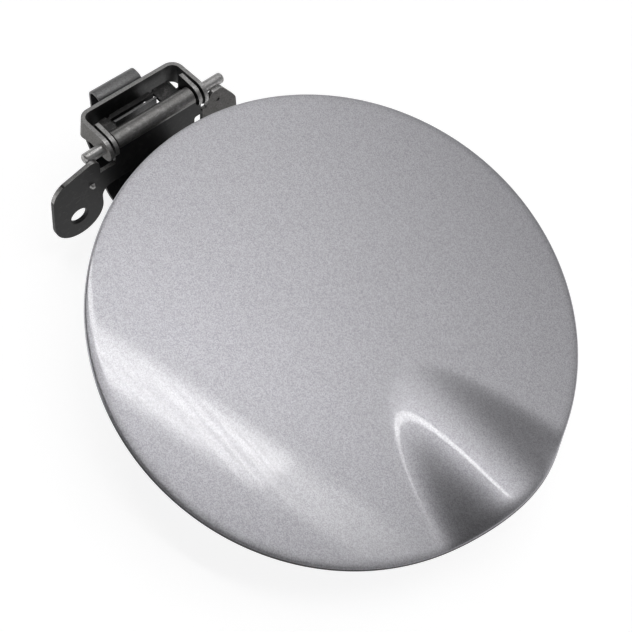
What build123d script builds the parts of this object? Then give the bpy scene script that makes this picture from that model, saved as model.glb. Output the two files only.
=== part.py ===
from build123d import *
import os
from math import cos, radians, sin, sqrt

os.makedirs("parts", exist_ok=True)

# Round fuel door on a gooseneck hinge, closed.
# Millimetres. Origin: middle of the two screw holes, on the bracket's mounting face.
# +X leaves the mounting wall, +Y runs along the hinge pin, +Z points out of the car.

# Door panel
door_r = 82.5
door_tilt = 10.0
crown = 2.5
skin_t = 0.8
inner_t = 1.0
hem_width = 8.0
hem_fit = 0.05
panel_reach = 96.4
panel_rise = 12.2
panel_shift = 1.0

# Raised finger lip at the edge farthest from the hinge
lip_height = 7.0
lip_start = 22.4
lip_rim_half = 30.3
lip_ease = 0.19
lip_shift = 0.8
lip_crest = 2.6
lip_foot = 2.2

# Pressed reinforcement behind the skin
pan_floor_r = 57.0
pan_drop = 7.0
pan_wall_lean = 6.0
wall_over = 3.0
drain_r = 5.0
drain_circle_r = 44.0

# Rubber stops on the reinforcement
stop_r = 6.0
stop_height = 9.0
stop_neck_r = 3.0
neck_fit = 0.05
stop_head_r = 4.5
stop_head_t = 1.5
stop_x = 37.0
stop_y = 31.0

# Hinge pin
pin_r = 2.0
pin_left_stand = 8.2
pin_right_stand = 10.3
pin_chamfer = 0.7
running_fit = 0.05

# Bracket stamping
bracket_t = 1.5
hole_pitch = 63.0
hole_r = 3.3
hole_chamfer = 0.4
pin_height = 22.8
hinge_shift = 4.5
lobe_r = 10.3
bar_bottom = 15.3
bar_top = 6.4
leg_fillet = 4.5
right_leg = 15.0
left_shoulder_r = 8.3
left_shoulder_drop = 10.2
left_shoulder_out = 37.0
left_corner_r = 3.0
left_corner_drop = 2.4
left_corner_out = 28.5
right_shoulder_r = 6.0
right_shoulder_drop = 12.0
right_shoulder_out = 30.0
right_corner_r = 2.2
right_corner_drop = 2.6
right_corner_out = 27.8
right_corner_in = 25.2
relief_y = 18.0
relief_drop = 11.1
relief_width = 3.8
relief_height = 6.4
relief_r = 1.0
gauge_r = 0.8
gauge_y = 27.0
gauge_drop = 5.8
fold_gap = 0.8
front_top = 1.5
flange_drop = 2.6
flange_end = 12.2
flange_bend = 1.0
ear_gap = 1.0
ear_r = 4.4
ear_back = 7.5
ear_corner_r = 1.5
slot_shift = -0.9
slot_length = 19.4
slot_near = 6.2
slot_far = 10.4
notch_size = 1.6
notch_depth = 0.7
notch_apart = 19.0
nib_r = 1.2
nib_tip_r = 0.6
nib_height = 1.0
nib_y = -29.4
nib_drop = 10.8

# Arm stamping
arm_t = 1.5
arm_half = 21.5
arm_left = 18.0
arm_back = 14.9
arm_top = 1.0
arm_knee = 13.5
arm_floor = 36.0
arm_floor_start = 1.0
arm_floor_end = 13.0
foot_start = 33.0
foot_end = 66.0
bend_r = 7.0
eye_r = 4.8
flange_foot = 4.5
web_near = 5.5
web_foot = 9.3
edge_height = 4.0
edge_from = 12.0
edge_below = 12.0
arm_leg_gap = 3.0
window_half = 10.0
window_top = 10.5
window_bottom = 24.0
corner_r = 3.0
weld_r = 3.0
weld_depth = 0.3
weld_y = 9.0
weld_near = 46.0
weld_far = 58.0

# Leaf spring
spring_t = 0.8
spring_half = 9.2
spring_play = 1.6
spring_tip = 2.2
spring_drop = 9.5
spring_sag = 12.5
spring_sag_out = 15.0
spring_out = 22.4
spring_crest = 1.6
spring_hook_gap = 0.3
spring_hook_drop = 1.6
spring_bend = 2.6

# Derived positions
pin_at = Vector(-pin_r, hinge_shift, pin_height)
tilt_c = cos(radians(door_tilt))
tilt_s = sin(radians(door_tilt))
door_x = Vector(tilt_c, 0, -tilt_s)
door_z = Vector(tilt_s, 0, tilt_c)
door_at = pin_at + door_x * panel_reach + door_z * panel_rise + Vector(0, panel_shift, 0)
door = Plane(origin=door_at, x_dir=door_x, z_dir=door_z)
arm_side = Plane(origin=pin_at, x_dir=door_x, z_dir=(0, -1, 0))
wall_side = Plane(origin=pin_at, x_dir=(1, 0, 0), z_dir=(0, -1, 0))
wall = Plane(origin=(0, pin_at.Y, pin_at.Z), x_dir=(0, 1, 0), z_dir=(1, 0, 0))
ear_out = arm_half - arm_t - ear_gap
flange_root = pin_r + bracket_t
fold_half = ear_out - bracket_t - fold_gap
pin_left = arm_half + pin_left_stand
pin_right = arm_half + pin_right_stand
rim_depth = skin_t + inner_t + 2 * hem_fit + skin_t
reach_out = 2 * door_r
left_hole = -hole_pitch / 2 - hinge_shift
right_hole = hole_pitch / 2 - hinge_shift
foot_level = panel_rise - pan_drop - inner_t


def outer_height(x, y):
    """Height of the painted surface above the rim plane: a shallow crown plus the finger lip.

    The lip is a parabola in plan. It climbs along x and falls off smoothly across y."""
    dome = crown * (1 - (x * x + y * y) / door_r**2)
    if x <= lip_start:
        return dome
    run = (x - lip_start) / (door_r - lip_start)
    rise = (sqrt(run**2 + lip_ease**2) - lip_ease) / (sqrt(1 + lip_ease**2) - lip_ease)
    across = min(1.0, abs(y - lip_shift) / (lip_rim_half * sqrt(run)))
    return dome + lip_height * rise * (1 - across**lip_crest) ** lip_foot


# Painted surface as one smooth patch a little larger than the door
patch_half = door_r + 3
patch_cells = 60
grid = []
for i in range(patch_cells + 1):
    row = []
    for j in range(patch_cells + 1):
        gx = -patch_half + 2 * patch_half * i / patch_cells
        gy = -patch_half + 2 * patch_half * j / patch_cells
        row.append(door.from_local_coords(Vector(gx, gy, outer_height(gx, gy))))
    grid.append(row)
skin_face = Face.make_surface_from_array_of_points(grid, tol=0.01)
under_face = skin_face.moved(Location(-door_z * skin_t))
inner_face = skin_face.moved(Location(-door_z * (skin_t + hem_fit)))
hem_face = skin_face.moved(Location(-door_z * (rim_depth - skin_t)))

# Space inside the hem, between the skin and its folded edge
with BuildPart() as hem_space:
    extrude(under_face, amount=rim_depth - 2 * skin_t, dir=-door_z)
    with BuildSketch(door):
        Circle(door_r - skin_t)
    extrude(amount=reach_out, both=True, mode=Mode.INTERSECT)

# Opening inside the folded edge
with BuildPart() as hem_opening:
    extrude(hem_face, amount=reach_out, dir=-door_z)
    with BuildSketch(door):
        Circle(door_r - hem_width)
    extrude(amount=reach_out, both=True, mode=Mode.INTERSECT)

# Painted outer skin with its hemmed edge
with BuildPart() as outer_skin:
    extrude(skin_face, amount=rim_depth, dir=-door_z)
    with BuildSketch(door):
        Circle(door_r)
    extrude(amount=reach_out, both=True, mode=Mode.INTERSECT)
    add(hem_space.part, mode=Mode.SUBTRACT)
    add(hem_opening.part, mode=Mode.SUBTRACT)

# Everything under the skin, used to trim the reinforcement's wall
with BuildPart() as below_skin:
    extrude(inner_face, amount=reach_out, dir=-door_z)
    with BuildSketch(door):
        Circle(door_r - skin_t - hem_fit)
    extrude(amount=reach_out, both=True, mode=Mode.INTERSECT)

# Reinforcement: a band in the hem, a sloping wall and a flat floor
pan_rim_r = pan_floor_r + pan_wall_lean
wall_top = lip_height + wall_over
band_r = pan_floor_r + pan_wall_lean * pan_drop / (pan_drop + wall_top)
with BuildPart() as band:
    extrude(inner_face, amount=inner_t, dir=-door_z)
    with BuildSketch(door):
        Circle(door_r - skin_t - hem_fit)
        Circle(band_r, mode=Mode.SUBTRACT)
    extrude(amount=reach_out, both=True, mode=Mode.INTERSECT)

pan_side = Plane(origin=door_at, x_dir=door_x, z_dir=(0, -1, 0))
with BuildPart() as inner_panel:
    with BuildSketch(pan_side):
        with BuildLine():
            Polyline(
                (0, -pan_drop),
                (pan_floor_r, -pan_drop),
                (pan_rim_r, wall_top),
                (pan_rim_r + inner_t, wall_top),
                (pan_floor_r + inner_t, -pan_drop - inner_t),
                (0, -pan_drop - inner_t),
                close=True,
            )
        make_face()
    revolve(axis=Axis(door_at, door_z))
    add(below_skin.part, mode=Mode.INTERSECT)
    add(band.part)
    with BuildSketch(door):
        with PolarLocations(drain_circle_r, 2, start_angle=90):
            Circle(drain_r)
    extrude(amount=-reach_out, mode=Mode.SUBTRACT)
    with BuildSketch(door.offset(-pan_drop)):
        with Locations((stop_x, stop_y), (stop_x, -stop_y)):
            Circle(stop_neck_r + neck_fit)
    extrude(amount=-2 * inner_t, mode=Mode.SUBTRACT)

# Rubber stops pushed through the reinforcement
stop_level = -pan_drop - inner_t
with BuildPart() as bump_stops:
    for side in (stop_y, -stop_y):
        with Locations(door.offset(stop_level) * Location((stop_x, side, -stop_height / 2))):
            Cylinder(stop_r, stop_height)
        with Locations(door.offset(stop_level) * Location((stop_x, side, inner_t / 2))):
            Cylinder(stop_neck_r, inner_t)
        with Locations(door.offset(-pan_drop) * Location((stop_x, side, stop_head_t / 2))):
            Cone(stop_head_r, stop_neck_r, stop_head_t)

# Hinge pin
pin_line = Plane(origin=pin_at, x_dir=(1, 0, 0), z_dir=(0, 1, 0))
with BuildPart() as hinge_pin:
    with BuildSketch(pin_line) as pin_disc:
        Circle(pin_r)
    extrude(amount=pin_right)
    extrude(pin_disc.sketch, amount=-pin_left)
    chamfer(hinge_pin.edges().filter_by(GeomType.CIRCLE), pin_chamfer)

# Bracket: wall plate with two wings, folded over the pin to a slotted flange with two ears
plate_y = pin_at.Y
with BuildPart() as hinge_bracket:
    with BuildSketch(wall):
        with Locations((left_hole, -pin_height)):
            Circle(lobe_r)
        with Locations((-left_shoulder_out, -left_shoulder_drop)):
            Circle(left_shoulder_r)
        with Locations((-left_corner_out, -left_corner_drop)):
            Circle(left_corner_r)
        make_hull()
    extrude(amount=bracket_t)
    with BuildSketch(wall):
        with Locations((right_hole, -pin_height)):
            Circle(lobe_r)
        with Locations((right_shoulder_out, -right_shoulder_drop)):
            Circle(right_shoulder_r)
        with Locations((right_corner_out, -right_corner_drop), (right_corner_in, -right_corner_drop)):
            Circle(right_corner_r)
        make_hull()
    extrude(amount=bracket_t)
    with BuildSketch(wall):
        with BuildLine():
            Polyline(
                (-left_shoulder_out, -bar_top),
                (-left_shoulder_out, -pin_height),
                (left_hole + lobe_r, -pin_height),
                (left_hole + lobe_r, -bar_bottom),
                (right_leg, -bar_bottom),
                (right_hole - lobe_r, -pin_height),
                (right_shoulder_out, -pin_height),
                (right_shoulder_out, -bar_top),
                close=True,
            )
        make_face()
    extrude(amount=bracket_t)
    for corner_y in (left_hole + lobe_r, right_leg):
        corner = (bracket_t / 2, plate_y + corner_y, pin_height - bar_bottom)
        fillet(hinge_bracket.edges().filter_by(Axis.X).sort_by_distance(corner)[0], leg_fillet)
    with BuildSketch(wall):
        with Locations((0, -(front_top + bar_top) / 2)):
            Rectangle(2 * ear_out, bar_top - front_top)
    extrude(amount=bracket_t)
    with BuildSketch(wall_side) as fold:
        Circle(pin_r + bracket_t)
        Circle(pin_r, mode=Mode.SUBTRACT)
        with Locations((0, -fold_half)):
            Rectangle(2 * fold_half, 2 * fold_half, mode=Mode.SUBTRACT)
        with Locations((pin_r + bracket_t / 2, -(bar_top + bracket_t) / 2)):
            Rectangle(bracket_t, bar_top + bracket_t)
        with Locations((-pin_r - bracket_t / 2, -(flange_drop + bracket_t) / 2)):
            Rectangle(bracket_t, flange_drop + bracket_t)
        with Locations((-(pin_r + flange_end) / 2, -flange_drop - bracket_t / 2)):
            Rectangle(flange_end - pin_r, bracket_t)
        fold_inside = (-pin_r - bracket_t, -flange_drop, 0)
        fillet(fold.vertices().sort_by_distance(fold_inside)[0], flange_bend)
        fold_outside = (-pin_r, -flange_drop - bracket_t, 0)
        fillet(fold.vertices().sort_by_distance(fold_outside)[0], flange_bend + bracket_t)
    extrude(amount=fold_half, both=True)
    with BuildSketch(wall_side):
        with Locations((-(ear_back + flange_root) / 2, -flange_drop - bracket_t / 2)):
            Rectangle(ear_back - flange_root, bracket_t)
    extrude(amount=ear_out, both=True)
    for side in (1, -1):
        with BuildSketch(wall_side.offset(side * ear_out)) as ear:
            with Locations((-ear_back / 2, (ear_r - flange_drop - bracket_t) / 2)):
                Rectangle(ear_back, ear_r + flange_drop + bracket_t)
            fillet(ear.vertices().sort_by_distance((-ear_back, ear_r, 0))[0], ear_corner_r)
            Circle(ear_r)
        extrude(amount=-side * bracket_t)
    with BuildSketch(wall_side):
        Circle(pin_r)
    extrude(amount=ear_out, both=True, mode=Mode.SUBTRACT)
    with BuildSketch(Plane(pin_at)):
        with Locations((-(slot_near + slot_far) / 2, slot_shift)):
            Rectangle(slot_far - slot_near, slot_length)
        with Locations(
            (-flange_end, slot_shift - notch_apart / 2),
            (-flange_end, slot_shift + notch_apart / 2),
        ):
            Rectangle(2 * notch_depth, notch_size)
    extrude(amount=-2 * flange_drop, mode=Mode.SUBTRACT)
    with BuildSketch(wall):
        with Locations((left_hole, -pin_height), (right_hole, -pin_height)):
            Circle(hole_r)
        with Locations((gauge_y, -gauge_drop)):
            Circle(gauge_r)
        with Locations((relief_y, -relief_drop)):
            RectangleRounded(relief_width, relief_height, relief_r)
    extrude(amount=bracket_t, mode=Mode.SUBTRACT)
    rounds = hinge_bracket.edges().filter_by(GeomType.CIRCLE)
    mouths = rounds.filter_by(lambda edge: abs(edge.radius - hole_r) < 1e-6)
    chamfer(mouths.group_by(Axis.X)[-1], hole_chamfer)
    with BuildSketch(wall.offset(bracket_t)):
        with Locations((nib_y, -nib_drop)):
            Circle(nib_r)
    with BuildSketch(wall.offset(bracket_t + nib_height)):
        with Locations((nib_y, -nib_drop)):
            Circle(nib_tip_r)
    loft()

# Arm: gooseneck strip from the foot on the reinforcement round to the pin, with two eyes
foot_under = foot_level - arm_t
arm_plan = Plane(origin=pin_at, x_dir=door_x, z_dir=door_z)
arm_end = Plane(origin=pin_at, x_dir=(0, 1, 0), z_dir=door_x)
arm_right = right_leg - arm_leg_gap
neck_side = -web_foot - arm_floor

# Plan of the yoke, a rounded U
with BuildPart() as yoke:
    with BuildSketch(arm_plan) as plan:
        with Locations((arm_half - arm_back, 0)):
            RectangleRounded(2 * arm_half, 2 * arm_half, corner_r + arm_t)
            RectangleRounded(2 * arm_half - 2 * arm_t, 2 * arm_half - 2 * arm_t, corner_r, mode=Mode.SUBTRACT)
    extrude(amount=arm_half, both=True)
    with BuildSketch(arm_side):
        Circle(eye_r)
        with Locations((arm_t / 2 - arm_back, (arm_top - flange_foot) / 2)):
            Rectangle(arm_t, arm_top + flange_foot)
        make_hull()
        with BuildLine():
            Polyline(
                (-arm_back, 0),
                (-web_near, 0),
                (-web_near, -flange_foot),
                (-arm_back + arm_t, -web_foot),
                (-arm_back, -web_foot),
                close=True,
            )
        make_face()
    extrude(amount=2 * arm_half, both=True, mode=Mode.INTERSECT)

# Turned-up edges that stiffen the gooseneck
with BuildPart() as arm_edges:
    with BuildSketch(arm_side):
        with BuildLine() as edge_path:
            FilletPolyline(
                (-arm_back, -arm_knee),
                (arm_floor_start, -arm_floor),
                (arm_floor_end, -arm_floor),
                (foot_start, foot_under),
                radius=bend_r,
            )
            offset(amount=arm_t + edge_height, side=Side.LEFT)
        make_face()
    extrude(amount=arm_half, both=True)
    with BuildSketch(arm_side):
        with Locations((edge_from + foot_end / 2, -edge_below - arm_floor / 2)):
            Rectangle(foot_end, arm_floor)
    extrude(amount=arm_half, both=True, mode=Mode.INTERSECT)
    with BuildSketch(arm_plan):
        with Locations((foot_end / 2, (arm_right - arm_left) / 2)):
            Rectangle(2 * foot_end, arm_right + arm_left)
            Rectangle(2 * foot_end, arm_right + arm_left - 2 * arm_t, mode=Mode.SUBTRACT)
    extrude(amount=2 * arm_floor, both=True, mode=Mode.INTERSECT)

with BuildPart() as hinge_arm:
    with BuildSketch(arm_side):
        with BuildLine():
            FilletPolyline(
                (-arm_back, arm_top),
                (-arm_back, -arm_knee),
                (arm_floor_start, -arm_floor),
                (arm_floor_end, -arm_floor),
                (foot_start, foot_under),
                (foot_end, foot_under),
                radius=bend_r,
            )
            offset(amount=arm_t, side=Side.LEFT)
        make_face()
    extrude(amount=arm_half, both=True)
    with BuildSketch(arm_end):
        with Locations((0, arm_half - web_foot)):
            Rectangle(3 * arm_half, 2 * arm_half)
            Rectangle(2 * arm_half - 2 * corner_r - 2 * arm_t, 2 * arm_half, mode=Mode.SUBTRACT)
    extrude(amount=-2 * arm_back, mode=Mode.SUBTRACT)
    with BuildSketch(arm_end):
        with Locations((arm_right + arm_half, neck_side), (-arm_left - arm_half, neck_side)):
            Rectangle(2 * arm_half, 2 * arm_floor)
    extrude(amount=2 * arm_back, both=True, mode=Mode.SUBTRACT)
    add(yoke.part)
    add(arm_edges.part)
    with BuildSketch(arm_side):
        Circle(pin_r + running_fit)
    extrude(amount=2 * arm_half, both=True, mode=Mode.SUBTRACT)
    with BuildSketch(arm_end):
        with Locations((slot_shift, -(window_top + window_bottom) / 2)):
            Rectangle(2 * window_half, window_bottom - window_top)
    extrude(amount=-2 * arm_back, mode=Mode.SUBTRACT)
    with BuildSketch(arm_plan.offset(foot_under)):
        with Locations((weld_near, weld_y), (weld_near, -weld_y), (weld_far, weld_y), (weld_far, -weld_y)):
            Circle(weld_r)
    extrude(amount=weld_depth, mode=Mode.SUBTRACT)

# Leaf spring, hooked in the bracket's slot and curled outside the yoke's back wall
spring_x = -(slot_far - spring_play - spring_t / 2)
hook_level = (arm_back * tilt_s + spring_hook_drop) / tilt_c
hook_x = -(arm_back * tilt_c + hook_level * tilt_s + spring_hook_gap + spring_t / 2)
spring_mid = Plane(origin=pin_at + Vector(0, slot_shift, 0), x_dir=(1, 0, 0), z_dir=(0, -1, 0))
with BuildPart() as toggle_spring:
    with BuildSketch(spring_mid):
        with BuildLine():
            FilletPolyline(
                (spring_x, -spring_tip),
                (spring_x, -spring_drop),
                (-spring_sag_out, -spring_sag),
                (-spring_out, -spring_sag),
                (-spring_out, spring_crest),
                (hook_x, spring_crest),
                (hook_x, -spring_hook_drop),
                radius=spring_bend,
            )
        trace(line_width=spring_t)
    extrude(amount=spring_half, both=True)

hinge_arm.part.label = "hinge_arm"
export_step(hinge_arm.part, "parts/hinge_arm.step")
toggle_spring.part.label = "toggle_spring"
export_step(toggle_spring.part, "parts/toggle_spring.step")
hinge_pin.part.label = "hinge_pin"
export_step(hinge_pin.part, "parts/hinge_pin.step")
outer_skin.part.label = "outer_skin"
export_step(outer_skin.part, "parts/outer_skin.step")
inner_panel.part.label = "inner_panel"
export_step(inner_panel.part, "parts/inner_panel.step")
bump_stops.part.label = "bump_stops"
export_step(bump_stops.part, "parts/bump_stops.step")
hinge_bracket.part.label = "hinge_bracket"
export_step(hinge_bracket.part, "parts/hinge_bracket.step")
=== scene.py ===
# %% [markdown]
# # Car fuel door
# A round, silver-painted fuel door on a gooseneck hinge. The CAD model gives the sizes and
# the joint; this lesson adds what the eye needs: a rolled rim, softened sheet-metal edges,
# metallic paint under a clear coat, and worn black coating on the hinge.
# Loading the frame comes first, because everything else is placed in its coordinates.

# %% Load the frame
from math import radians

import bmesh
import bpy
import numpy as np
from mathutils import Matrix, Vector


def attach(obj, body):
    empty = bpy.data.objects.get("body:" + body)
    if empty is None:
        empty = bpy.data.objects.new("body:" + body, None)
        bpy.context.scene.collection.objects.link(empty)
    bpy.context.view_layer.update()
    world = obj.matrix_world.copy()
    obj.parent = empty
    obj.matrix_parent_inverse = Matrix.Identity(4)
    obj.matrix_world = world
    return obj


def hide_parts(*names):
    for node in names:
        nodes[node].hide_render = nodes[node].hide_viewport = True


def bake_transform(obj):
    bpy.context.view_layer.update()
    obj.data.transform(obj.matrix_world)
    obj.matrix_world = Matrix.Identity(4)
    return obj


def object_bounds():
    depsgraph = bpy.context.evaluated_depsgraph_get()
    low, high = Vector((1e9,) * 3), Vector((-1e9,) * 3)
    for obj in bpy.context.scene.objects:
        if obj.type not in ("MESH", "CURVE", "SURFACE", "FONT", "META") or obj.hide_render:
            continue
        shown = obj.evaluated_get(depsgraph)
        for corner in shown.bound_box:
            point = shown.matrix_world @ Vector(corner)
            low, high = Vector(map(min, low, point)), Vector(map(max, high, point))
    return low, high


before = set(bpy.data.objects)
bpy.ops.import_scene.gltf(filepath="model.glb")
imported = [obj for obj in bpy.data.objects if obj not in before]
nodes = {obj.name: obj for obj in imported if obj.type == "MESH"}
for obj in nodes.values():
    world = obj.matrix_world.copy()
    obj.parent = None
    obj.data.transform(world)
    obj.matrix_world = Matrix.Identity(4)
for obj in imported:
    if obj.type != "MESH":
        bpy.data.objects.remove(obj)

cad_box = [[float(c) for c in corner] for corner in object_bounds()]
print("nodes:", sorted(nodes))

# %% [markdown]
# ## Sizes
# Sizes are in millimetres, as in the CAD source, and a single factor turns them into
# Blender's metres. The door leans by ten degrees, so it has its own three directions: from the
# hinge to the finger lip, along the pin, and out of the paint.

# %% Sizes and the door's own frame
mm = 0.001
pin_at = np.array([-2.0, 4.5, 22.8])
lean = radians(10)
door_x = np.array([np.cos(lean), 0, -np.sin(lean)])
door_y = np.array([0.0, 1, 0])
door_z = np.array([np.sin(lean), 0, np.cos(lean)])
panel_reach, panel_rise, panel_shift = 96.4, 12.2, 1.0
door_at = pin_at + panel_reach * door_x + panel_rise * door_z + panel_shift * door_y
door_r, crown = 82.5, 2.5
print("door middle, mm:", door_at.round(2))

# %% [markdown]
# ## Grids that become meshes
# Skin, pin and spring are each a sheet of points in rows and columns. One helper joins
# neighbouring points with four-sided faces and closes each row to a ring. Points that fall on
# each other, as at an end that shrinks to nothing, are welded, so that no seam stays open.

# %% Helpers for grids
weld = 1e-7


def add_object(name, data):
    """A new object for a mesh or a camera, linked to the scene."""
    thing = bpy.data.objects.new(name, data)
    bpy.context.scene.collection.objects.link(thing)
    return thing


def grid_faces(rows, columns):
    """Quads between neighbouring rows and columns; the columns close on themselves."""
    row = np.arange(rows - 1)[:, None]
    column = np.arange(columns)[None, :]
    after = (column + 1) % columns
    corners = (row * columns + column, row * columns + after,
               (row + 1) * columns + after, (row + 1) * columns + column)
    return np.stack(np.broadcast_arrays(*corners), axis=-1).reshape(-1, 4)


def piece_from_grid(name, points, sharp_degrees=40):
    """A mesh object from an array of rows x columns x 3 points in millimetres."""
    rows, columns = points.shape[:2]
    mesh = bpy.data.meshes.new(name)
    mesh.from_pydata(points.reshape(-1, 3) * mm, [], grid_faces(rows, columns))
    shape = bmesh.new()
    shape.from_mesh(mesh)
    bmesh.ops.remove_doubles(shape, verts=shape.verts, dist=weld)
    bmesh.ops.recalc_face_normals(shape, faces=shape.faces)
    shape.to_mesh(mesh)
    shape.free()
    mesh.shade_smooth()
    mesh.set_sharp_from_angle(angle=radians(sharp_degrees))
    print(name, "faces:", len(mesh.polygons))
    return add_object(name, mesh)


print("points closer than", weld, "m are welded")

# %% [markdown]
# ## The painted skin
# The skin is one pressing: a shallow dome whose edge is folded back on itself round the
# inner panel, with a lip drawn up for a fingertip. A CAD solid has a hard corner at the rim.
# Here the section of the sheet is walked from the middle out over the rolled rim, under the
# hem and back to the middle inside, and turned round the door's axis. Each point is then
# lifted by the height of dome and lip at its own place. The lip is shaped more finely than
# in the CAD model, from which it departs by up to a millimetre.

# %% Height of the dome and the lip
lip_height, lip_start, lip_ease, lip_shift = 8.1, 25.5, 0.08, 1.25
lip_near = dict(half=30.8, plan=0.352, crest=2.1, foot=2.0)
lip_far = dict(half=33.0, plan=0.548, crest=2.03, foot=2.0)
lip_round, lip_fall = 5.5, 0.11
edge_width, edge_drop = 3.2, 0.2
tiny = 1e-9


def lip_side(y, run, half, plan, crest, foot):
    """Share of the lip's height left at a distance y from its crest: one less the distance
    over the half-width, each to a power. The half-width grows as a power of the run."""
    width = half * np.maximum(run, tiny)**plan
    across = np.minimum(1, np.abs(y - lip_shift) / width)
    return (1 - across**crest)**foot


def paint_height(x, y):
    """Dome: the crown less its share of the squared radius. Lip: a rounded climb along x times
    the share left across y, which differs on its two sides. Rim: a soft fall near the edge,
    wider and deeper where the lip stands up."""
    dome = crown * (1 - (x**2 + y**2) / door_r**2)
    run = np.maximum(0, (x - lip_start) / (door_r - lip_start))
    full = np.sqrt(1 + lip_ease**2) - lip_ease
    climb = (np.sqrt(run**2 + lip_ease**2) - lip_ease) / full
    share = np.where(y < lip_shift, lip_side(y, run, **lip_near), lip_side(y, run, **lip_far))
    inset = door_r - np.hypot(x, y)
    edge = np.maximum(0, 1 - inset / edge_width)
    share = share * (1 - lip_fall * np.maximum(0, 1 - inset / lip_round)**2)
    return dome + lip_height * climb * share - edge_drop * edge**2


print("lip stands up", round(float(paint_height(door_r, 0.0)), 2), "mm at the rim")

# %% The skin's section and surface
skin_t, rim_depth, hem_width = 0.8, 2.7, 8.0
rim_round, rim_tuck = 0.8, 1.3
dome_rows, turn_rows, hem_rows, fold_rows, back_rows = 130, 11, 8, 7, 36


def skin_section():
    """Radius and depth below the paint along the sheet: out to the rim, a quarter circle over
    it, a longer quarter ellipse tucked in below, along the hem, and back inside to the middle."""
    turn = np.linspace(0, np.pi / 2, turn_rows)[1:]
    inner = door_r - skin_t
    hem_in = door_r - hem_width
    tuck_depth = rim_round + (rim_depth - rim_round) * np.sin(turn)
    stretches = (
        (np.linspace(0, door_r - rim_round, dome_rows), 0.0),
        (door_r - rim_round * (1 - np.sin(turn)), rim_round * (1 - np.cos(turn))),
        (door_r - rim_tuck * (1 - np.cos(turn)), tuck_depth),
        (np.linspace(door_r - rim_tuck, hem_in, hem_rows)[1:], rim_depth),
        (np.linspace(hem_in, inner, fold_rows), rim_depth - skin_t),
        (np.linspace(inner, 0, back_rows), skin_t))
    radius = np.concatenate([out for out, _ in stretches])
    depth = np.concatenate([np.broadcast_to(down, out.shape) for out, down in stretches])
    return radius, depth


def skin_points(around=480):
    """Section turned round the door's axis, each point lowered from the paint's height."""
    radius, depth = skin_section()
    angle = np.linspace(0, 2 * np.pi, around, endpoint=False)
    x = radius[:, None] * np.cos(angle)
    y = radius[:, None] * np.sin(angle)
    z = paint_height(x, y) - depth[:, None]
    return door_at + x[..., None] * door_x + y[..., None] * door_y + z[..., None] * door_z


door_skin = piece_from_grid("door_skin", skin_points())

# %% [markdown]
# ## Painted shade on the rim
# The outer side of the rim is painted dark along the near side of the picture: painted shade that
# stands in for the dark surroundings the rim would mirror there. Nodes could work that out from a
# point's place on the door, but sums on whole arrays are easier to read. So each point of the mesh
# stores its share of painted shade, and the paint further down reads it by its name.

# %% Where the painted shade sits on the rim
shade_inset, shade_ease = 0.9, 0.4
shade_depth, depth_ease = 0.04, 0.2
shade_angle = radians(315)
shade_from, shade_spread = 0.35, 0.25


def grown(value, start, width):
    """Zero up to start, one from start + width on, and a straight climb between them."""
    return np.clip((value - start) / width, 0, 1)


def rim_painted_shade(points):
    """One on the outer side of the rim on its near side, where shade is painted, easing to zero on
    the paint, the hem and the rest of the rim."""
    local = points / mm - door_at
    x, y, z = local @ door_x, local @ door_y, local @ door_z
    outer = grown(np.hypot(x, y), door_r - shade_inset, shade_ease)
    camera_side = grown(np.cos(np.arctan2(y, x) - shade_angle), shade_from, shade_spread)
    return camera_side * outer * grown(paint_height(x, y) - z, shade_depth, depth_ease)


spots = np.empty(3 * len(door_skin.data.vertices))
door_skin.data.vertices.foreach_get("co", spots)
shade_shares = rim_painted_shade(spots.reshape(-1, 3))
shade_layer = door_skin.data.attributes.new("rim_painted_shade", "FLOAT", "POINT")
shade_layer.data.foreach_set("value", shade_shares)
print("points more than half shaded:", int((shade_shares > 0.5).sum()))

# %% [markdown]
# ## The hinge pin
# The pin is cut from drawn wire and its ends are rounded over. A profile of radius against
# length, turned round the pin's axis, gives the body and both domed ends in one surface.

# %% The pin
pin_r, pin_dome = 2.0, 1.3
pin_left, pin_right = 29.7, 31.8


def pin_points(around=48, dome_rings=9):
    """Radius along the pin: full in the middle, a quarter ellipse to nothing at each end."""
    dome = np.linspace(0, np.pi / 2, dome_rings)
    bulge = pin_dome * np.sin(dome) - pin_dome
    along = np.concatenate([-pin_left - bulge[::-1], pin_right + bulge])
    radius = pin_r * np.concatenate([np.cos(dome)[::-1], np.cos(dome)])
    angle = np.linspace(0, 2 * np.pi, around, endpoint=False)
    x = radius[:, None] * np.cos(angle)
    z = radius[:, None] * np.sin(angle)
    y = np.broadcast_to(along[:, None], x.shape)
    return pin_at + np.stack([x, y, z], axis=-1)


pin = piece_from_grid("pin", pin_points())

# %% [markdown]
# ## The toggle spring
# A strip of spring steel, bent to a C: one end sits in the bracket's slot, the other hooks
# over the arm's back wall, and it snaps the door open or shut. A flat section with rounded
# edges is carried along the bent path, with each corner drawn as an arc.

# %% The spring's path
spring_t, spring_bend = 0.8, 2.6
spring_corners = np.array([[-8.4, -2.2], [-8.4, -9.5], [-15, -12.5], [-22.4, -12.5],
                           [-22.4, 1.6], [-16.112, 1.6], [-16.112, -1.6]])


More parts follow.
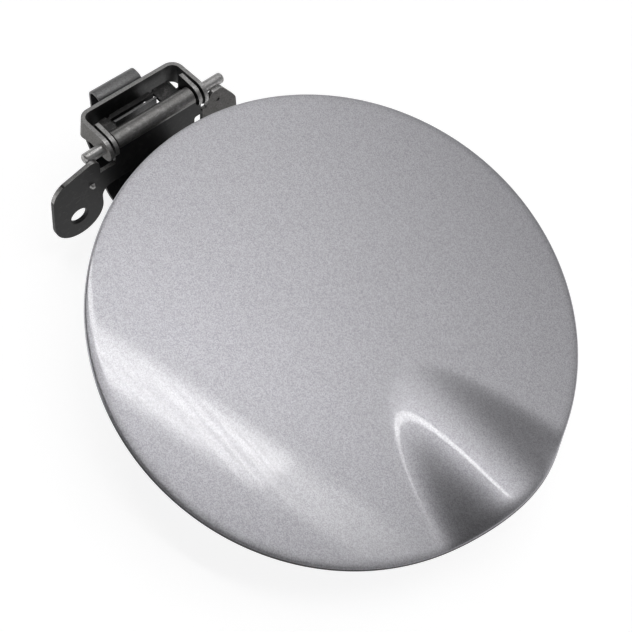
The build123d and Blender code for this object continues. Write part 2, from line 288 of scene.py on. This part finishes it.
def bent_path(corners, bend, steps=9):
    """Straight runs joined by arcs of one radius; gives points and unit normals to the left."""
    runs = np.diff(corners, axis=0)
    runs = runs / np.linalg.norm(runs, axis=1, keepdims=True)
    left = np.stack([-runs[:, 1], runs[:, 0]], axis=1)
    points, normals = [corners[:1]], [left[:1]]
    for before, after, corner, side in zip(runs[:-1], runs[1:], corners[1:-1], left[:-1]):
        turn = np.arctan2(before[0] * after[1] - before[1] * after[0], before @ after)
        reach = bend * np.tan(abs(turn) / 2)
        middle = corner - reach * before + np.sign(turn) * bend * side
        swing = np.linspace(0, turn, steps)[:, None]
        out = np.cos(swing) * side + np.sin(swing) * np.array([-side[1], side[0]])
        points.append(middle - np.sign(turn) * bend * out)
        normals.append(out)
    points.append(corners[-1:])
    normals.append(left[-1:])
    return np.concatenate(points), np.concatenate(normals)


print("spring path points:", len(bent_path(spring_corners, spring_bend)[0]))


# %% The spring's surface
def spring_points(low=-10.1, high=8.3, edge=0.22, edge_steps=4):
    """A flat strip section with rounded edges, carried along the bent path; ends closed."""
    path, normal = bent_path(spring_corners, spring_bend)
    half_t = spring_t / 2
    corner = np.linspace(0, np.pi / 2, edge_steps)
    cos, sin = edge * np.cos(corner), edge * np.sin(corner)
    y = np.concatenate([high - edge + cos, low + edge - sin, low + edge - cos, high - edge + sin])
    off = np.concatenate([half_t - edge + sin, half_t - edge + cos,
                          -half_t + edge - sin, -half_t + edge - cos])
    ring = np.zeros((len(path), len(y), 3))
    ring[..., 0] = path[:, :1] + normal[:, :1] * off
    ring[..., 1] = y
    ring[..., 2] = path[:, 1:] + normal[:, 1:] * off
    ends = ring[[0, -1]].mean(axis=1, keepdims=True)
    first, last = (np.broadcast_to(end, (1,) + ring.shape[1:]) for end in ends)
    return pin_at + np.concatenate([first, ring, last])


spring = piece_from_grid("spring", spring_points())

# %% [markdown]
# ## Stamped pieces with softened edges
# The bracket and the arm are stamped from sheet, and their CAD shapes are right as they are.
# Only their edges are too sharp: a press leaves a small radius, and the coating wears off it
# first. A copy of each node is merged, flat faces are joined again, and a Bevel modifier
# rounds the edges.

# %% Softened copies of the stampings
cad_weld = 1e-6
edge_round, edge_segments = 0.25, 2
flat_angle, sharp_angle = radians(0.5), radians(30)
wing_root = 19.9


def softened(node, name, cut_y=None):
    """Merged copy of a CAD node whose edges sharper than 30 degrees are rounded. A cut at
    cut_y splits flat faces there, so that the two parts can have finishes of their own."""
    mesh = nodes[node].data.copy()
    mesh.name = name
    mesh.materials.clear()
    shape = bmesh.new()
    shape.from_mesh(mesh)
    bmesh.ops.remove_doubles(shape, verts=shape.verts, dist=cad_weld)
    bmesh.ops.dissolve_limit(shape, angle_limit=flat_angle, verts=shape.verts,
                             edges=shape.edges, use_dissolve_boundaries=False)
    if cut_y is not None:
        everything = shape.verts[:] + shape.edges[:] + shape.faces[:]
        bmesh.ops.bisect_plane(shape, geom=everything, dist=weld,
                               plane_co=(0, cut_y * mm, 0), plane_no=(0, 1, 0))
    shape.to_mesh(mesh)
    shape.free()
    mesh.shade_smooth()
    piece = add_object(name, mesh)
    bevel = piece.modifiers.new("rounded edges", "BEVEL")
    bevel.width = edge_round * mm
    bevel.segments = edge_segments
    bevel.limit_method = "ANGLE"
    bevel.angle_limit = sharp_angle
    bevel.use_clamp_overlap = True
    normals = piece.modifiers.new("flat faces stay flat", "WEIGHTED_NORMAL")
    normals.keep_sharp = False
    print(name, "faces before the bevel:", len(mesh.polygons))
    return piece


bracket = softened("hinge_bracket", "bracket_stamping", cut_y=pin_at[1] + wing_root)
arm = softened("hinge_arm", "arm_stamping")

# %% [markdown]
# ## Where the coat has gone, and where light is painted
# On the hinge the black coat survives on most flat faces. The rims of the eyes and ears are
# rubbed to bare steel. The upper cut edges of the sheet and the faces that look upwards get the
# same bare steel, partly as wear and partly as a painted highlight of the light from above. The
# fold over the pin is rubbed bright and the flange behind it is half worn. The right wing and the
# arm's left cheek get a lighter, dusty coat; on the right wing its lighter grey is painted light,
# for the light the wing catches. Each face has a middle and a direction, so simple comparisons on
# whole arrays pick those faces and give them the number of another finish.

# %% Helpers for choosing faces
bare_and_highlight_no, worn_no, fold_no, dust_and_light_no = 1, 2, 3, 4


def face_facts(piece):
    """Middles of the faces from the pin, in millimetres, and their directions."""
    faces = piece.data.polygons
    middle, facing = np.empty(3 * len(faces)), np.empty(3 * len(faces))
    faces.foreach_get("center", middle)
    faces.foreach_get("normal", facing)
    return middle.reshape(-1, 3) / mm - pin_at, facing.reshape(-1, 3)


def off_axis(middle, facing):
    """Distance from the pin's axis, and how far a face looks away from that axis."""
    distance = np.hypot(middle[:, 0], middle[:, 2])
    outward = middle[:, 0] * facing[:, 0] + middle[:, 2] * facing[:, 2]
    return distance, outward / np.maximum(distance, tiny)


def give_finish(piece, chosen, number):
    """Gives the chosen faces the finish with that number."""
    numbers = np.empty(len(chosen), dtype=np.int32)
    piece.data.polygons.foreach_get("material_index", numbers)
    numbers[chosen] = number
    piece.data.polygons.foreach_set("material_index", numbers)
    print(piece.name, "finish", number, "faces:", int(chosen.sum()))


print("faces of the arm and the bracket:", len(arm.data.polygons), len(bracket.data.polygons))

# %% Worn faces of the arm, with a painted highlight on its upward faces
yoke_low, yoke_front, cheek_left = -3.2, 5.3, -20.0
eye_r, radius_slack = 4.75, 0.3
tilted_up, squarely = 0.35, 0.8

middle, facing = face_facts(arm)
distance, away = off_axis(middle, facing)
on_yoke = (middle @ door_z > yoke_low) & (middle @ door_x < yoke_front)
# Upward faces of the yoke get bare steel: partly wear, partly a painted highlight.
upward_highlight = (facing @ door_z > tilted_up) & on_yoke
eye_rim = (np.abs(distance - eye_r) < radius_slack) & (away > squarely)
cheek = (facing[:, 1] < -squarely) & (middle[:, 1] < cheek_left)
give_finish(arm, upward_highlight | eye_rim, bare_and_highlight_no)
give_finish(arm, cheek, dust_and_light_no)

# %% Worn faces of the bracket, with painted highlights and painted light
ear_in, ear_out, ear_low = 17.3, 19.2, -2.4
wing_in, wing_low = 19.5, -18.0
fold_half, fold_r = 17.2, 3.4
plate_level, level_slack = -2.6, 0.2
nib_front = 3.7
edge_on, partly_up, mostly_out, flat_on = 0.5, 0.3, 0.7, 0.9

middle, facing = face_facts(bracket)
distance, away = off_axis(middle, facing)
side, level = np.abs(middle[:, 1]), middle[:, 2]
ear_top = (side > ear_in) & (side < ear_out) & (level > ear_low) & (np.abs(facing[:, 1]) < edge_on)
# Upward faces of the wings get bare steel as a painted highlight along their tops.
wing_top_highlight = (side > wing_in) & (facing[:, 2] > partly_up) & (level > wing_low)
nib = middle[:, 0] > nib_front
plate = (facing[:, 2] > flat_on) & (np.abs(level - plate_level) < level_slack)
fold = (side < fold_half) & (np.abs(distance - fold_r) < radius_slack) & (away > mostly_out)
# The right wing's lighter coat is painted light, for the light it catches.
right_wing = (facing[:, 0] > flat_on) & (middle[:, 1] > wing_root)
for chosen, number in ((ear_top | wing_top_highlight | nib, bare_and_highlight_no), (plate, worn_no), (fold, fold_no),
                       (right_wing, dust_and_light_no)):
    give_finish(bracket, chosen, number)

# %% [markdown]
# ## Node helpers
# A material is a small network of nodes. These helpers add a node with its values, and link
# sockets by name, so that each finish below reads as a short recipe.

# %% Helpers that add nodes
def add_node(tree, kind, **values):
    """A node of that kind; values set its properties, or its inputs by name with _ as space."""
    node = tree.nodes.new(kind)
    for name, value in values.items():
        if hasattr(node, name):
            setattr(node, name, value)
        else:
            node.inputs[name.replace("_", " ")].default_value = value
    return node


def feed(tree, socket, value):
    """Links a socket to an input, or sets the input where the value is a number or colour."""
    if isinstance(value, (int, float, tuple)):
        socket.default_value = value
    else:
        tree.links.new(value, socket)


def math_node(tree, operation, a, b=0.0, clamp=False):
    """One arithmetic step; a and b are sockets or numbers."""
    node = add_node(tree, "ShaderNodeMath", operation=operation, use_clamp=clamp)
    for socket, value in zip(node.inputs, (a, b)):
        feed(tree, socket, value)
    return node.outputs[0]


def chain(tree, operation, first, *others):
    """The same arithmetic step over several values, from left to right."""
    for other in others:
        first = math_node(tree, operation, first, other)
    return first


def mix_colour(tree, share, a, b):
    """Mix of two colours by a share; each may be a socket or a colour."""
    node = add_node(tree, "ShaderNodeMix", data_type="RGBA")
    colours = [socket for socket in node.inputs if socket.type == "RGBA"]
    for socket, value in zip((node.inputs[0], *colours), (share, a, b)):
        feed(tree, socket, value)
    return next(socket for socket in node.outputs if socket.type == "RGBA")


def ramp(tree, value, low, high, to_low=0.0, to_high=1.0):
    """Value from low..high carried to to_low..to_high with eased, clamped ends."""
    node = add_node(tree, "ShaderNodeMapRange", interpolation_type="SMOOTHSTEP")
    for socket, number in zip(node.inputs, (value, low, high, to_low, to_high)):
        feed(tree, socket, number)
    return node.outputs[0]


print("helpers that add nodes are ready")


# %% Helpers for groups and finishes
def new_group(name, inputs, outputs):
    """An empty shader node group with float, colour or vector sockets; returns its tree and
    its two ends."""
    tree = bpy.data.node_groups.new(name, "ShaderNodeTree")
    kinds = {"f": "NodeSocketFloat", "c": "NodeSocketColor", "v": "NodeSocketVector"}
    for way, sockets in (("INPUT", inputs), ("OUTPUT", outputs)):
        for label, kind in sockets:
            tree.interface.new_socket(label, in_out=way, socket_type=kinds[kind])
    return tree, tree.nodes.new("NodeGroupInput"), tree.nodes.new("NodeGroupOutput")


def new_finish(name):
    """A material with its tree, its Principled shader and an Object coordinate socket."""
    finish = bpy.data.materials.new(name)
    finish.use_nodes = True
    tree = finish.node_tree
    shader = tree.nodes["Principled BSDF"]
    place = tree.nodes.new("ShaderNodeTexCoord").outputs["Object"]
    return finish, tree, shader, place


def add_bump(tree, shader, height, strength, distance):
    """A Bump node on the shader's Normal."""
    bump = add_node(tree, "ShaderNodeBump", Strength=strength, Distance=distance)
    tree.links.new(height, bump.inputs["Height"])
    tree.links.new(bump.outputs[0], shader.inputs["Normal"])


print("helpers for groups and finishes are ready")

# %% [markdown]
# ## Metallic flake
# Silver car paint holds tiny aluminium flakes. Each one lies at its own tilt, so from close
# by the colour is a fine speckle of lighter and darker grains. A Voronoi texture with cells
# of about a quarter of a millimetre gives each grain a random value; a noise of about a
# millimetre gives the faint clouds of a sprayed coat. Skin and inner panel use the group.

# %% Flake group
flakes_per_metre, clouds_per_metre = 3600.0, 900.0
middle_value = 0.5


def make_flake_group():
    """Colour in, speckled colour out, with the grain value as a height for bumps."""
    tree, start, end = new_group(
        "metallic flake",
        [("Place", "v"), ("Colour", "c"), ("Speckle", "f"), ("Cloud", "f")],
        [("Colour", "c"), ("Grain", "f")])
    grain = add_node(tree, "ShaderNodeTexVoronoi", Scale=flakes_per_metre)
    cloud = add_node(tree, "ShaderNodeTexNoise", Scale=clouds_per_metre, Detail=2.0)
    for texture in (grain, cloud):
        tree.links.new(start.outputs["Place"], texture.inputs["Vector"])
    pick = tree.nodes.new("ShaderNodeSeparateColor")
    tree.links.new(grain.outputs["Color"], pick.inputs[0])
    speck, drift = (
        math_node(tree, "MULTIPLY", math_node(tree, "SUBTRACT", value, middle_value), amount)
        for value, amount in ((pick.outputs[0], start.outputs["Speckle"]),
                              (cloud.outputs["Fac"], start.outputs["Cloud"])))
    scaled = add_node(tree, "ShaderNodeVectorMath", operation="SCALE")
    tree.links.new(start.outputs["Colour"], scaled.inputs[0])
    tree.links.new(chain(tree, "ADD", speck, drift, 1.0), scaled.inputs["Scale"])
    tree.links.new(scaled.outputs[0], end.inputs["Colour"])
    tree.links.new(pick.outputs[1], end.inputs["Grain"])
    return tree


flake_group = make_flake_group()
print("group:", flake_group.name)

# %% [markdown]
# ## Wear and grime
# The hinge has lived behind the door: its black coat is mottled, dusty and rubbed through in
# places. Two noises of different size give a mask of rubbed spots and a mask of dust, and a
# long stretched noise gives scratches. Coating, pin, spring and rubber use the group with
# their own colours.

# %% Wear group
patches_per_metre, flecks_per_metre = 420.0, 1700.0
scratch_turn, scratch_scale = (0.4, 0.9, 0.5), (3500.0, 260.0, 900.0)
scratch_from, blot_from, film_from = (0.68, 0.74), (0.5, 0.72), (0.42, 0.7)
dust_rough = 0.3


def make_wear_group():
    """Mixes coat, rubbed and dust colours by noise masks; puts out colour, roughness, height."""
    tree, start, end = new_group(
        "wear and grime",
        [("Place", "v"), ("Coat", "c"), ("Rubbed", "c"), ("Dust", "c"),
         ("Rub share", "f"), ("Dust share", "f"), ("Rough", "f")],
        [("Colour", "c"), ("Roughness", "f"), ("Height", "f")])
    given = start.outputs
    patch = add_node(tree, "ShaderNodeTexNoise", Scale=patches_per_metre, Detail=6.0,
                     Roughness=0.7)
    fleck = add_node(tree, "ShaderNodeTexNoise", Scale=flecks_per_metre, Detail=3.0)
    stretch = add_node(tree, "ShaderNodeMapping", Rotation=scratch_turn, Scale=scratch_scale)
    scratch = add_node(tree, "ShaderNodeTexNoise", Scale=1.0, Detail=1.0)
    for node in (patch, fleck, stretch):
        tree.links.new(given["Place"], node.inputs["Vector"])
    tree.links.new(stretch.outputs[0], scratch.inputs["Vector"])
    rub = math_node(tree, "MAXIMUM", ramp(tree, scratch.outputs["Fac"], *scratch_from),
                    ramp(tree, patch.outputs["Fac"], *blot_from))
    rub = math_node(tree, "MULTIPLY", rub, given["Rub share"], clamp=True)
    film = ramp(tree, fleck.outputs["Fac"], *film_from)
    film = math_node(tree, "MULTIPLY", film, given["Dust share"], clamp=True)
    colour = mix_colour(tree, rub, given["Coat"], given["Rubbed"])
    colour = mix_colour(tree, film, colour, given["Dust"])
    rough = math_node(tree, "MULTIPLY", film, dust_rough)
    rough = math_node(tree, "ADD", given["Rough"], rough, clamp=True)
    tree.links.new(colour, end.inputs["Colour"])
    tree.links.new(rough, end.inputs["Roughness"])
    tree.links.new(patch.outputs["Fac"], end.inputs["Height"])
    return tree


wear_group = make_wear_group()
print("group:", wear_group.name)

# %% [markdown]
# ## Silver paint
# A metallic base under a clear coat: the base gives the soft grey that changes with its tilt,
# the coat gives the sharp mirror of the window. The flake group speckles the base, and its
# grain also tilts the base a little, which makes single flakes glint. Years of wiping have
# left fine marks along the door in the clear coat, and they hardly show outside the gleam.
# Where the rim carries its painted shade, the paint is dark and dull.

# %% Silver paint and inner paint
cloud_share, coat_rough = 0.03, 0.04
# Colour, metal and roughness of the painted shade on the rim's near side.
shade_colour, shade_metal, shade_rough, shade_full = (0.035, 0.033, 0.033, 1), 0.1, 0.7, 0.8
mark_scale, mark_from, marked_gloss = (14.0, 1000.0, 14.0), (0.44, 0.54), 0.72
flake_bump, flake_height = 0.06, 0.0001


def make_paint(name, colour, speckle, rough, coat):
    """Metallic paint with flakes; coat is the weight of the clear coat. Painted rim shade darkens
    it.
    """
    finish, tree, shader, place = new_finish(name)
    flake = add_node(tree, "ShaderNodeGroup", node_tree=flake_group, Colour=colour,
                     Speckle=speckle, Cloud=cloud_share)
    # Reads the share of painted shade stored on the rim's points.
    rim = add_node(tree, "ShaderNodeAttribute", attribute_name="rim_painted_shade").outputs["Fac"]
    along = add_node(tree, "ShaderNodeMapping", Scale=mark_scale)
    marks = add_node(tree, "ShaderNodeTexNoise", Scale=1.0, Detail=3.0)
    tree.links.new(place, flake.inputs["Place"])
    tree.links.new(place, along.inputs["Vector"])
    tree.links.new(along.outputs[0], marks.inputs["Vector"])
    gloss = ramp(tree, marks.outputs["Fac"], *mark_from, marked_gloss * coat, coat)
    gloss = math_node(tree, "MULTIPLY", gloss, ramp(tree, rim, 0.0, shade_full, 1.0, 0.0))
    for label, value in (
            ("Base Color", mix_colour(tree, rim, flake.outputs["Colour"], shade_colour)),
            ("Metallic", ramp(tree, rim, 0.0, 1.0, 1.0, shade_metal)),
            ("Roughness", ramp(tree, rim, 0.0, 1.0, rough, shade_rough)),
            ("Coat Weight", gloss), ("Coat Roughness", coat_rough)):
        feed(tree, shader.inputs[label], value)
    add_bump(tree, shader, flake.outputs["Grain"], flake_bump, flake_height)
    return finish


silver_paint = make_paint("silver paint", (0.4, 0.395, 0.42, 1), speckle=0.42, rough=0.38, coat=1.0)
inner_paint = make_paint("inner paint", (0.36, 0.355, 0.38, 1), speckle=0.2, rough=0.5, coat=0.2)
print("paints:", silver_paint.name, inner_paint.name)

# %% [markdown]
# ## Hinge finishes
# Black dip coat on the stampings, with a half-worn, a rubbed and a lighter, dusty kind of it,
# the lighter kind being painted light on the right wing; bare steel where edges are rubbed and as
# a painted highlight on upward faces, dull steel for the pin and darker, oiled steel for the
# spring.
# They are one recipe with other values.

# %% The recipe for a worn finish
wear_bump, wear_height = 0.06, 0.0002


def make_worn(name, coat, rubbed, dust, rub_share, dust_share, rough, metal, shine=0.5):
    """A worn finish from the wear group; metal is how metallic the whole surface is, and shine
    how strongly its non-metal part mirrors."""
    finish, tree, shader, place = new_finish(name)
    wear = add_node(tree, "ShaderNodeGroup", node_tree=wear_group, Coat=coat, Rubbed=rubbed,
                    Dust=dust, Rub_share=rub_share, Dust_share=dust_share, Rough=rough)
    tree.links.new(place, wear.inputs["Place"])
    for label, value in (
            ("Base Color", wear.outputs["Colour"]), ("Roughness", wear.outputs["Roughness"]),
            ("Metallic", metal), ("Specular IOR Level", shine)):
        feed(tree, shader.inputs[label], value)
    add_bump(tree, shader, wear.outputs["Height"], wear_bump, wear_height)
    print("finish:", finish.name)
    return finish


# %% Finishes of the stampings
black_coat = make_worn(
    "black coat", coat=(0.011, 0.011, 0.012, 1), rubbed=(0.07, 0.068, 0.066, 1),
    dust=(0.032, 0.03, 0.028, 1), rub_share=0.4, dust_share=0.3, rough=0.4, metal=0.0, shine=0.22)
# Bare steel for rubbed edges, also used as a painted highlight on faces that look upwards.
bare_edge_and_highlight = make_worn(
    "bare edge and painted highlight", coat=(0.36, 0.355, 0.35, 1), rubbed=(0.5, 0.5, 0.5, 1),
    dust=(0.06, 0.057, 0.055, 1), rub_share=0.6, dust_share=0.45, rough=0.33, metal=0.85)
worn_coat = make_worn(
    "half-worn coat", coat=(0.045, 0.044, 0.044, 1), rubbed=(0.2, 0.195, 0.19, 1),
    dust=(0.02, 0.02, 0.02, 1), rub_share=0.8, dust_share=0.5, rough=0.42, metal=0.3)
rubbed_fold = make_worn(
    "rubbed fold", coat=(0.21, 0.206, 0.202, 1), rubbed=(0.46, 0.455, 0.45, 1),
    dust=(0.04, 0.038, 0.036, 1), rub_share=0.55, dust_share=0.3, rough=0.28, metal=0.8)
# A lighter coat: dust on the arm's left cheek, and painted light on the right wing.
dust_and_light_coat = make_worn(
    "dusty coat and painted light", coat=(0.21, 0.202, 0.194, 1), rubbed=(0.32, 0.31, 0.3, 1),
    dust=(0.06, 0.057, 0.054, 1), rub_share=0.6, dust_share=0.4, rough=0.5, metal=0.1, shine=0.3)
stamping = (black_coat, bare_edge_and_highlight, worn_coat, rubbed_fold, dust_and_light_coat)

# %% Finishes of the pin and the spring
pin_steel = make_worn(
    "pin steel", coat=(0.42, 0.415, 0.41, 1), rubbed=(0.58, 0.58, 0.58, 1),
    dust=(0.07, 0.067, 0.065, 1), rub_share=0.6, dust_share=0.4, rough=0.3, metal=0.85)
spring_steel = make_worn(
    "spring steel", coat=(0.19, 0.19, 0.192, 1), rubbed=(0.3, 0.3, 0.3, 1),
    dust=(0.05, 0.048, 0.046, 1), rub_share=0.5, dust_share=0.35, rough=0.38, metal=0.7)

# %% [markdown]
# ## Rubber
# The two stops are moulded rubber: nearly black, matt, with a fine skin and a little dust.

# %% Rubber
rubber = make_worn(
    "stop rubber", coat=(0.022, 0.022, 0.023, 1), rubbed=(0.035, 0.035, 0.036, 1),
    dust=(0.07, 0.068, 0.065, 1), rub_share=0.4, dust_share=0.4, rough=0.6, metal=0.0)

# %% [markdown]
# ## Dressing the frame
# Each new piece gets its finish, takes the place of its CAD node and rides on that node's
# body. The spring is the exception: one end stays in the bracket and the other goes with the
# arm, so it is attached to neither body. The inner panel and the stops stay CAD nodes and only
# get a finish.

# %% Finishes, bodies and replaced nodes
for piece, finishes, node, body, slot in (
        (door_skin, (silver_paint,), "outer_skin", "door", "silver_paint"),
        (arm, stamping, "hinge_arm", "door", "black_coat"),
        (bracket, stamping, "hinge_bracket", "bracket", "black_coat"),
        (pin, (pin_steel,), "hinge_pin", "bracket", "steel"),
        (spring, (spring_steel,), "toggle_spring", None, "spring_steel")):
    for finish in finishes:
        piece.data.materials.append(finish)
    if body:
        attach(piece, body)
    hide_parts(node)
nodes["inner_panel"].material_slots[0].material = inner_paint
nodes["bump_stops"].material_slots[0].material = rubber
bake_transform(spring)
print("dressed:", [piece.name for piece in (door_skin, arm, bracket, pin, spring)])

# %% [markdown]
# ## Floor
# The door lies on a plain white floor. A white that is lit like the object would turn grey, so
# the floor adds its own white for what the eye, a mirror or glass sees of it, and only the
# rest of its brightness comes from the room. That rest is what the object's shadow takes away.

# %% Floor
floor_half, floor_gap = 6.0, 0.0005
floor_colour, floor_glow = (0.4, 0.4, 0.4, 1), 0.8
white = (1, 1, 1, 1)

floor_level = cad_box[0][2] - floor_gap
floor_corners = [(x * floor_half, y * floor_half, floor_level)
                 for x, y in ((-1, -1), (1, -1), (1, 1), (-1, 1))]
floor_mesh = bpy.data.meshes.new("floor")
floor_mesh.from_pydata(floor_corners, [], [(0, 1, 2, 3)])
floor = add_object("floor", floor_mesh)
floor_paint, floor_tree, floor_shader, _ = new_finish("floor white")
rays = floor_tree.nodes.new("ShaderNodeLightPath").outputs
seen = chain(floor_tree, "MAXIMUM", rays["Is Camera Ray"], rays["Is Glossy Ray"],
             rays["Is Transmission Ray"])
for label, value in (("Base Color", floor_colour), ("Roughness", 1.0),
                     ("Specular IOR Level", 0.0), ("Emission Color", white),
                     ("Emission Strength", math_node(floor_tree, "MULTIPLY", seen, floor_glow))):
    feed(floor_tree, floor_shader.inputs[label], value)
floor_mesh.materials.append(floor_paint)
print("floor at", round(floor_level, 4))

# %% [markdown]
# ## The room's light
# Glossy paint shows the room, so the room is drawn with care and kept plain. There are pale
# walls low down that reach higher on the near side, a wide soft panel of light overhead that
# leans to one side, and in it a narrow, brighter window. The panel makes the dome fade from
# light to dark grey and leaves the far slope of the lip in shade. The window gives the long
# gleam at the lower left and the thin bright line round the lip. Everything depends only on
# the direction in which a ray leaves, so it can be written with a few sums in the world's own
# nodes. The numbers below are parts of that direction, each between -1 and 1, and light levels.

# %% The room and a ray's direction
world = bpy.data.worlds.new("studio room")
world.use_nodes = True
bpy.context.scene.world = world
room = world.node_tree
aim = room.nodes.new("ShaderNodeSeparateXYZ")
room.links.new(room.nodes.new("ShaderNodeTexCoord").outputs["Generated"], aim.inputs[0])
to_x, to_y, to_z = aim.outputs
print("room:", world.name)

# %% The panel overhead: a bell curve across y that dims towards both ends of x
panel_level, panel_side, panel_lean = 1.085, 0.448, 0.25
low_width, high_width = 0.4, 0.325
panel_ends, end_level = ((0.75, 0.3), (-0.8, -0.35)), 0.25
natural_base = 2.71828

aside = math_node(room, "SUBTRACT", to_y, panel_side)
below = math_node(room, "DIVIDE", math_node(room, "MINIMUM", aside, 0.0), low_width)
above = math_node(room, "DIVIDE", math_node(room, "MAXIMUM", aside, 0.0), high_width)
spread = math_node(room, "ADD", math_node(room, "MULTIPLY", below, below),
                   math_node(room, "MULTIPLY", above, above))
bell = math_node(room, "POWER", natural_base, math_node(room, "MULTIPLY", spread, -1.0))
slope = math_node(room, "SUBTRACT", 1.0, math_node(room, "MULTIPLY", to_x, panel_lean))
dimmed = [ramp(room, to_x, *end, end_level) for end in panel_ends]
panel = chain(room, "MULTIPLY", bell, slope, panel_level, *dimmed)
print("panel level:", panel_level)

# %% The window: a slanting stripe with soft sides, a fainter tail and faint streaks
window_level, window_half, window_side, window_slant = 9.0, 0.032, 0.16, 0.3
soft_outside, soft_inside = 0.018, 0.016
tail_step, tail_level = (0.18, 0.155), 0.42
tail_end, head_end, above_floor = (0.42, 0.22), (-0.6, -0.3), (0.0, 0.1)
streak_scale, streak_span, streak_levels = 170.0, (0.2, 0.8), (0.6, 1.3)

slanted = math_node(room, "SUBTRACT", to_y, math_node(room, "MULTIPLY", to_x, window_slant))
across = math_node(room, "SUBTRACT", slanted, window_side)
streaks = add_node(room, "ShaderNodeTexNoise", noise_dimensions="1D", Scale=streak_scale,
                   Detail=2.0)
room.links.new(across, streaks.inputs["W"])
window = chain(
    room, "MULTIPLY",
    ramp(room, math_node(room, "ABSOLUTE", across),
         window_half + soft_outside, window_half - soft_inside),
    ramp(room, to_x, *tail_step, tail_level), ramp(room, to_x, *tail_end),
    ramp(room, to_x, *head_end), ramp(room, to_z, *above_floor),
    ramp(room, streaks.outputs["Fac"], *streak_span, *streak_levels), window_level)
print("window level:", window_level)

# %% The walls, and all the light together
wall_heights, wall_levels = (0.3, 0.1), (0.01, 0.95)
near_heights, near_levels, near_sides = (0.7, 0.42), (0.0, 0.55), (0.45, 0.1)

walls = ramp(room, to_z, *wall_heights, *wall_levels)
near_wall = math_node(room, "MULTIPLY", ramp(room, to_z, *near_heights, *near_levels),
                      ramp(room, to_y, *near_sides))
light = math_node(room, "ADD", math_node(room, "ADD", panel, window),
                  math_node(room, "ADD", walls, near_wall))
glow = room.nodes["Background"]
feed(room, glow.inputs["Color"], white)
feed(room, glow.inputs["Strength"], light)
print("nodes in the room:", len(room.nodes))

# %% [markdown]
# ## Camera
# The camera stands where the photograph was taken from: close by, looking down past the lip
# towards the hinge, with a slight roll.

# %% Camera
camera = bpy.data.cameras.new("camera")
camera.lens, camera.sensor_width = 56.96, 36.0
camera.clip_start = 0.01
viewer = add_object("camera", camera)
viewer.location = (0.183606, -0.133694, 0.297794)
viewer.rotation_euler = (radians(29.207), radians(-6.404), radians(46.769))
bpy.context.scene.camera = viewer
bpy.context.scene.view_settings.view_transform = "Standard"
print("camera at", tuple(round(c, 4) for c in viewer.location))
